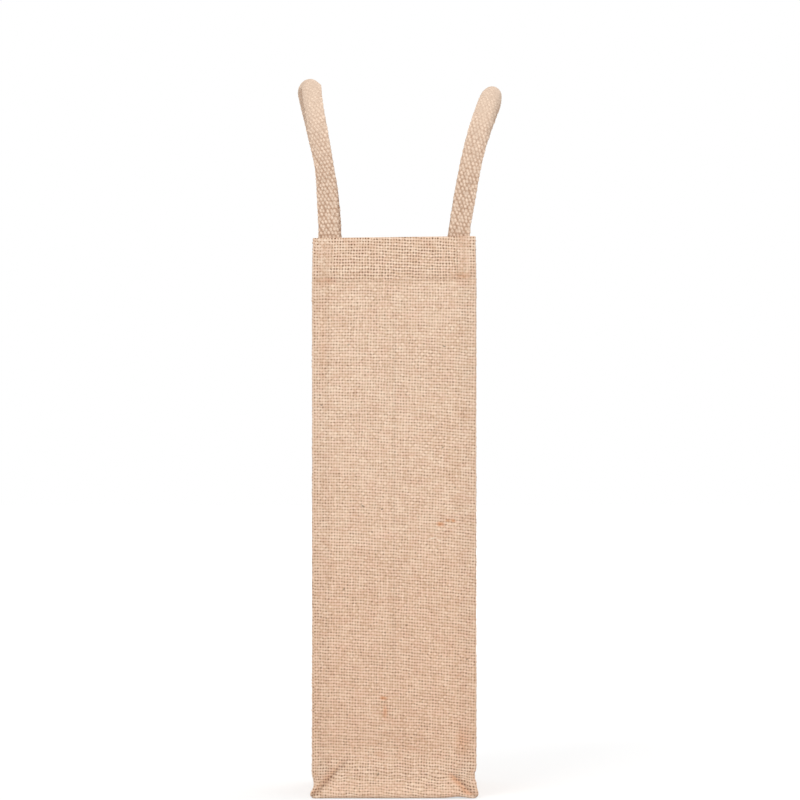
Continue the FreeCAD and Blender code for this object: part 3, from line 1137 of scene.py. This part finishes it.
def sewing_thread():
    material, tree, shader = new_material("sewing_thread", roughness=0.8, specular=0.2)
    u, v = weave_place(tree)
    ply = ((u * PLIES + v * PLY_TURNS) * math.pi).math("SINE") * 0.5 + 0.5
    fuzz = noise(tree, u, v * 1000.0, scale=3.0)
    # Painted shade in the grooves between the plies
    colour = mix(tree, ply.ramp(*PLY_GROOVE), THREAD_GROOVE_SHADE, THREAD)
    colour = brighten(tree, colour, fuzz * FUZZ_LIGHT + FUZZ_LEAST)
    tree.links.new(colour, shader.inputs["Base Color"])
    bump(tree, shader, ply, strength=0.5, distance=0.0001)
    return material


# Thread pieces

THREAD_RADIUS = 0.00028
THREAD_SIDES = 6
THREAD_TIP = 1e-6
STEEP = 0.8
UP = (0.0, 0.0, 1.0)
ASIDE = (1.0, 0.3, 0.0)


def tubes(name, runs):
    """One mesh of round threads. Each run is its points and the thread's radius at each of them."""
    vertices = []
    faces = []
    corners = []
    first = 0
    turn = 2 * np.pi * np.arange(THREAD_SIDES) / THREAD_SIDES
    around = np.arange(THREAD_SIDES + 1) / THREAD_SIDES
    for points, radii in runs:
        forward = unit(np.gradient(points, axis=0))
        side = unit(np.cross(forward, np.where(np.abs(forward[:, 2:]) > STEEP, ASIDE, UP)))
        up = np.cross(side, forward)
        circle = side[:, None] * np.cos(turn)[None, :, None] + up[:, None] * np.sin(turn)[None, :, None]
        rings = points[:, None] + circle * radii[:, None, None]
        vertices.append(rings.reshape(-1, 3))
        faces.append(ring_faces(len(points), THREAD_SIDES, first))
        length = np.concatenate([[0], np.cumsum(np.linalg.norm(np.diff(points, axis=0), axis=1))])
        corners.append(face_corners(around, length[:, None]))
        first += len(points) * THREAD_SIDES
    obj = new_object(name, soften(np.concatenate(vertices)), np.concatenate(faces))
    set_uv(obj, np.concatenate(corners))
    tidy(obj)
    return obj


def thread_radii(count, radius):
    """The same radius all along, with a point at each end."""
    radii = np.full(count, radius)
    radii[[0, -1]] = THREAD_TIP
    return radii


# A stitch comes up out of the cloth, lies over it and goes down again
STITCH_POINTS = 9
STITCH_LENGTH = 0.0030
STITCH_PITCH = 0.0040
STITCH_ARCH = 2.2
STITCH_SINK = 1.4
STITCH_SHARE = np.linspace(0, 1, STITCH_POINTS)
STITCH_RUN = (STITCH_SHARE - 0.5) * STITCH_LENGTH
STITCH_LIFT = THREAD_RADIUS * (STITCH_ARCH * np.sin(math.pi * STITCH_SHARE) ** 0.5 - STITCH_SINK)
STITCH_RADII = thread_radii(STITCH_POINTS, THREAD_RADIUS)


def stitch_row(start, end, outward):
    """Stitches on a flat wall from one place to another."""
    start = np.array(start, float)
    run = np.array(end, float) - start
    length = np.linalg.norm(run)
    count = max(1, round(length / STITCH_PITCH))
    stitch = np.outer(STITCH_RUN, run / length) + np.outer(STITCH_LIFT, outward)
    return [(start + run * (k + 0.5) / count + stitch, STITCH_RADII) for k in range(count)]


ROW_INSET = 0.0025


def hem_thread():
    """The row of stitches round the mouth."""
    runs = []
    reach = SIDE - ROW_INSET
    depth = WALL - GUSSET_INSET - ROW_INSET
    z = STITCH_LINE
    for way in (-1, 1):
        runs += stitch_row((-reach, way * WALL, z), (reach, way * WALL, z), (0, way, 0))
        runs += stitch_row((way * SIDE, -depth, z), (way * SIDE, depth, z), (way, 0, 0))
    return tubes("hem_thread", runs)


STRAP_FACE = STRAP_LINE - 0.0015


def tack_thread(name, node, way):
    """The box of stitches through one strap end, on the cloth's outer face and the strap's inner one."""
    low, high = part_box(node)
    runs = []
    for y, outward in ((way * WALL, way), (way * STRAP_FACE, -way)):
        for x in (low.x + THREAD_RADIUS, high.x - THREAD_RADIUS):
            runs += stitch_row((x, y, low.z), (x, y, high.z), (0, outward, 0))
        for z in (low.z + THREAD_RADIUS, high.z - THREAD_RADIUS):
            runs += stitch_row((low.x, y, z), (high.x, y, z), (0, outward, 0))
    return tubes(name, runs)


SEAM_LINE = SIDE - 3 * CLOTH
SEAM_START = HEM_DEPTH + 0.003


def seam_thread(name, side):
    """The lockstitch along a gusset's allowance."""
    runs = []
    for k in range(round((WRAP_LENGTH - 2 * SEAM_START) / STITCH_PITCH)):
        s = SEAM_START + (k + 0.5) * STITCH_PITCH + STITCH_RUN
        runs.append((wrap_point(s, side * SEAM_LINE, FLANGE_FACE + STITCH_LIFT), STITCH_RADII))
    return tubes(name, runs)


OVERLOCK_START = HEM_DEPTH + 0.001
OVERLOCK_EDGE = MARGIN - CLOTH / 2 - 0.0003
OVERLOCK_WIDTH = 0.0035
OVERLOCK_PITCH = 0.0026
OVERLOCK_STEPS = 8
OVERLOCK_RISE = (0.02, 0.22)
OVERLOCK_RADIUS = 0.8 * THREAD_RADIUS


def overlock_thread(name, side):
    """The zigzag that keeps the raw edge of a gusset's allowance."""
    count = round((WRAP_LENGTH - 2 * OVERLOCK_START) / OVERLOCK_PITCH)
    t = np.arange(count * OVERLOCK_STEPS + 1) / OVERLOCK_STEPS
    swing = pulse(t)
    x = side * (OVERLOCK_EDGE + OVERLOCK_WIDTH * swing)
    inset = FLANGE_FACE - CLOTH / 2 + (CLOTH / 2 + THREAD_RADIUS) * smooth(swing, *OVERLOCK_RISE)
    points = wrap_point(OVERLOCK_START + t * OVERLOCK_PITCH, x, inset)
    return tubes(name, [(points, thread_radii(len(t), OVERLOCK_RADIUS))])


# Flecks of husk and loose fibres caught in the front: x, z, length, turn in degrees, paleness
FLECKS = (
    (-0.0199, 0.1863, 0.0024, -30, 0.0),
    (-0.0078, 0.1844, 0.0015, 10, 0.0),
    (-0.0320, 0.1334, 0.0020, 80, 0.1),
    (0.0465, 0.0887, 0.0017, 20, 0.0),
    (0.0318, 0.2878, 0.0026, -25, 0.2),
    (-0.0292, 0.2897, 0.0022, 20, 0.3),
    (-0.0464, 0.2512, 0.0018, 0, 0.1),
    (0.0388, 0.1982, 0.0013, 40, 0.1),
    (0.0310, 0.2237, 0.0012, 30, 0.1),
    (-0.0103, 0.0153, 0.0026, 60, 0.1),
    (0.0203, 0.0153, 0.0011, 0, 0.0),
    (0.0245, 0.1658, 0.0050, 12, 1.0),
    (0.0285, 0.1646, 0.0036, -20, 1.0),
)
FLECK_RADIUS = 0.00042
FLECK_BLUNT = 1.02
FLECK_BOW = 0.3
FLECK_POINTS = 7
FLECK_DARK = (0.20, 0.12, 0.07, 1)
FLECK_PALE = (0.86, 0.72, 0.58, 1)
GRAIN_LIGHT = 0.5
GRAIN_LEAST = 0.75


def flecks():
    runs = []
    paleness = []
    t = np.linspace(-0.5, 0.5, FLECK_POINTS)
    radii = FLECK_RADIUS * (FLECK_BLUNT - (2 * t) ** 2)
    for x, z, length, turn, pale in FLECKS:
        along = np.array([math.cos(math.radians(turn)), 0, math.sin(math.radians(turn))])
        bow = np.outer(FLECK_BOW * length * t**2, [-along[2], 0, along[0]])
        runs.append((np.array([x, -WALL, z]) + np.outer(length * t, along) + bow, radii))
        paleness += [pale] * FLECK_POINTS * THREAD_SIDES
    obj = tubes("flecks", runs)
    paint(obj, pale=paleness)
    return obj


def husk():
    material, tree, shader = new_material("husk", roughness=0.85, specular=0.15)
    u, v = weave_place(tree)
    grain = noise(tree, u * 3.0, v * 400.0, scale=2.0)
    colour = mix(tree, attribute(tree, "pale"), FLECK_DARK, FLECK_PALE)
    colour = brighten(tree, colour, grain * GRAIN_LIGHT + GRAIN_LEAST)
    tree.links.new(colour, shader.inputs["Base Color"])
    return material


# Build, dress and hang the pieces

cloth_material = jute_cloth()
webbing_material = jute_webbing()
thread_material = sewing_thread()


def dress(obj, material, slot_name, *nodes):
    """Gives a piece its material and hides the nodes whose place it takes; slot_name is not used."""
    obj.data.materials.clear()
    obj.data.materials.append(material)
    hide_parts(*nodes)


def hang_cloth(obj, node):
    """A sheet of cloth that is part of the bag."""
    tidy(obj)
    dress(obj, cloth_material, "jute_cloth", node)
    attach(obj, "bag")


def sew_on(obj, node):
    """A thread that is part of the bag."""
    dress(obj, thread_material, "thread", node)
    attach(obj, "bag")


hang_cloth(main_cloth(), "main_panel")

for side, label in ((-1, "left"), (1, "right")):
    hang_cloth(gusset_cloth(f"{label}_gusset_cloth", side), f"{label}_gusset")
    sew_on(seam_thread(f"{label}_seam_thread", side), f"{label}_gusset_stitching")
    sew_on(overlock_thread(f"{label}_overlock_thread", side), f"{label}_gusset_overlock")
    for place, way in (("front", -1), ("back", 1)):
        tack_node = f"{place}_{label}_handle_stitching"
        sew_on(tack_thread(f"{place}_{label}_tack_thread", tack_node, way), tack_node)

sew_on(hem_thread(), "hem_stitching")

husks = flecks()
husks.data.materials.append(husk())
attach(husks, "bag")

# Straps: leans and twists are in degrees, back_shift is the share of extra lean at the back, and each
# strap gets painted shade along its outer edge high on the legs
LEFT_STRAP = {
    "side": -1,
    "lean": Lean(first=1.0, last=10.2, low=0.014, high=0.060),
    "top": left_top + 0.0014,
    "back_shift": 0.31,
    "twist": 28,
    "edge_shading": 0.3,
    "seed": 11,
}
RIGHT_STRAP = {
    "side": 1,
    "lean": Lean(first=7.0, last=22.0, low=0.010, high=0.110),
    "top": right_top - 0.0018,
    "back_shift": 0.06,
    "twist": 0,
    "edge_shading": 0.9,
    "seed": 12,
}

for label, values in (("left", LEFT_STRAP), ("right", RIGHT_STRAP)):
    webbing = strap(f"{label}_webbing", **values)
    tidy(webbing)
    ends = [f"{place}_{label}_handle_end" for place in ("front", "back")]
    dress(webbing, webbing_material, "jute_webbing", f"{label}_handle", *ends)
    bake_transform(webbing)


# Camera, floor and light

CAMERA_DISTANCE = 2.2
CAMERA_X = 0.0037
CAMERA_Z = 0.254
VIEW_WIDTH = 0.5106
SENSOR = 36.0

camera = bpy.data.objects.new("camera", bpy.data.cameras.new("camera"))
bpy.context.scene.collection.objects.link(camera)
camera.data.sensor_width = SENSOR
camera.data.lens = SENSOR * CAMERA_DISTANCE / VIEW_WIDTH
camera.location = (CAMERA_X, -WALL - CAMERA_DISTANCE, CAMERA_Z)
camera.rotation_euler = (math.pi / 2, 0, 0)
bpy.context.scene.camera = camera
bpy.context.scene.view_settings.view_transform = "Standard"


def seen_directly(tree):
    """1 for rays from the camera, reflections and clear materials, 0 for light that falls on things."""
    path = add_node(tree, "LightPath", {})
    seen = Field(tree, path.outputs["Is Camera Ray"])
    seen = seen.math("MAXIMUM", Field(tree, path.outputs["Is Glossy Ray"]))
    return seen.math("MAXIMUM", Field(tree, path.outputs["Is Transmission Ray"]))


FLOOR_HALF = 6.0
FLOOR_DROP = 0.0002
FLOOR_GREY = 0.84
FLOOR_GLOW = 1.20
FLOOR_LEAST = 0.5
FLOOR_FADE = (0.35, 1.8)


def floor():
    """Pale and shaded by the object close to it, plain white further off."""
    corners = np.array([(-1, -1), (1, -1), (1, 1), (-1, 1)], float) * FLOOR_HALF
    vertices = np.column_stack([corners, np.full(4, -FLOOR_DROP)])
    obj = new_object("floor", vertices, np.array([[0, 1, 2, 3]]))
    material, tree, shader = new_material("floor", roughness=0.9, specular=0.0)
    shader.inputs["Base Color"].default_value = (FLOOR_GREY, FLOOR_GREY, FLOOR_GREY, 1)
    place = add_node(tree, "TexCoord", {}).outputs["Object"]
    length = add_node(tree, "VectorMath", {0: place}, operation="LENGTH").outputs["Value"]
    away = Field(tree, length).ramp(*FLOOR_FADE)
    share = seen_directly(tree) * (away * (1 - FLOOR_LEAST) + FLOOR_LEAST)
    glow = add_node(tree, "Emission", {"Strength": FLOOR_GLOW}).outputs[0]
    blend = add_node(tree, "MixShader", {0: share, 1: shader.outputs[0], 2: glow}).outputs[0]
    plug(tree, tree.nodes["Material Output"].inputs["Surface"], blend)
    obj.data.materials.append(material)


WORLD_LIGHT = 0.72


def world():
    """White where it is seen, dimmer as a light."""
    scene_world = bpy.data.worlds.new("studio")
    scene_world.use_nodes = True
    tree = scene_world.node_tree
    background = tree.nodes["Background"]
    strength = seen_directly(tree) * (1 - WORLD_LIGHT) + WORLD_LIGHT
    plug(tree, background.inputs["Strength"], strength)
    background.inputs["Color"].default_value = (1, 1, 1, 1)
    bpy.context.scene.world = scene_world


LIT_MIDDLE = Vector((0, 0, 0.22))


def softbox(name, place, size, watts):
    """A square lamp that faces the middle of the object."""
    lamp = bpy.data.lights.new(name, "AREA")
    lamp.shape = "SQUARE"
    lamp.size = size
    lamp.energy = watts
    obj = bpy.data.objects.new(name, lamp)
    bpy.context.scene.collection.objects.link(obj)
    obj.location = place
    obj.rotation_euler = (obj.location - LIT_MIDDLE).to_track_quat("Z", "Y").to_euler()


floor()
world()
softbox("key", place=(-0.9, -1.6, 2.0), size=1.0, watts=20.5)
softbox("fill", place=(1.5, -1.6, 0.9), size=1.2, watts=6)
softbox("back", place=(0.9, 1.7, 1.5), size=1.2, watts=13)
